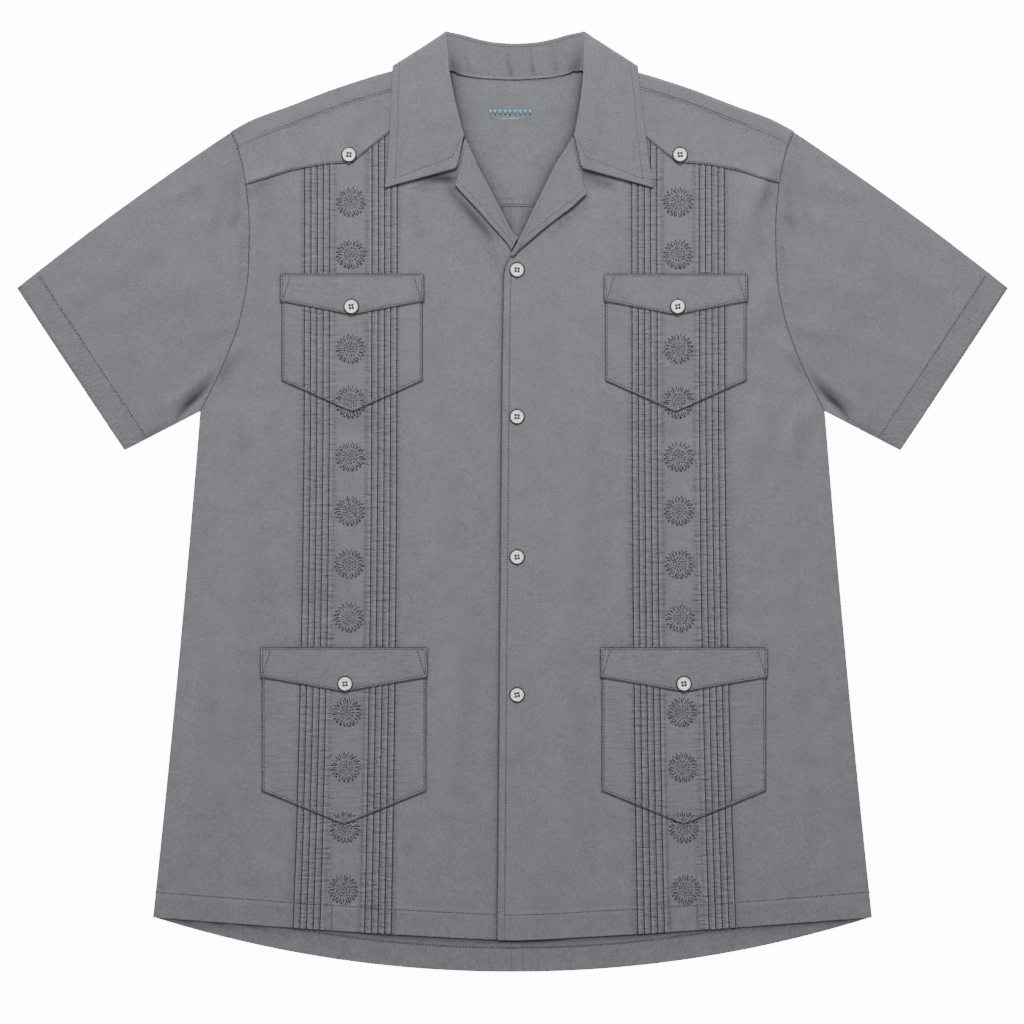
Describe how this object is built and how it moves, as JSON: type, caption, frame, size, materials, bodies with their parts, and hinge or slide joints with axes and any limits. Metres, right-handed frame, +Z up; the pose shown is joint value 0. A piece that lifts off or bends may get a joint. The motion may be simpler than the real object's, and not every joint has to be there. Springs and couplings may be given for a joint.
{
  "type": "guayabera shirt",
  "caption": "Short-sleeved guayabera in grey cloth, buttoned and laid flat face up, with a camp collar, four flapped pockets, groups of stitched tucks and embroidered rosettes.",
  "frame": {"origin": "on the surface it lies on, under the middle of its bounding box", "axes": "X across the shirt, +Y towards the collar, +Z up from the surface it lies on"},
  "size_m": [0.873, 0.8267, 0.0105],
  "materials": {
    "grey_cloth": "fine heathered plain weave in mid grey, matt with a faint sheen",
    "grey_thread": "tone-on-tone sewing and embroidery thread with a soft sheen",
    "pearl_button": "off-white pearl plastic with a darker rim"
  },
  "bodies": {
    "root": {"back": "grey_cloth", "back_yoke": "grey_cloth", "button_flap_lower_left": "pearl_button", "button_flap_lower_right": "pearl_button", "button_flap_upper_left": "pearl_button", "button_flap_upper_right": "pearl_button", "button_front_1": "pearl_button", "button_front_2": "pearl_button", "button_front_3": "pearl_button", "button_front_4": "pearl_button", "button_yoke_left": "pearl_button", "button_yoke_right": "pearl_button", "collar": "grey_cloth", "flap_lower_left": "grey_cloth", "flap_lower_right": "grey_cloth", "flap_upper_left": "grey_cloth", "flap_upper_right": "grey_cloth", "front_left": "grey_cloth", "front_right": "grey_cloth", "front_yoke_left": "grey_cloth", "front_yoke_right": "grey_cloth", "lapel_left": "grey_cloth", "lapel_right": "grey_cloth", "pocket_lower_left": "grey_cloth", "pocket_lower_right": "grey_cloth", "pocket_upper_left": "grey_cloth", "pocket_upper_right": "grey_cloth", "sleeve_left": "grey_cloth", "sleeve_right": "grey_cloth"}
  },
  "joints": []
}
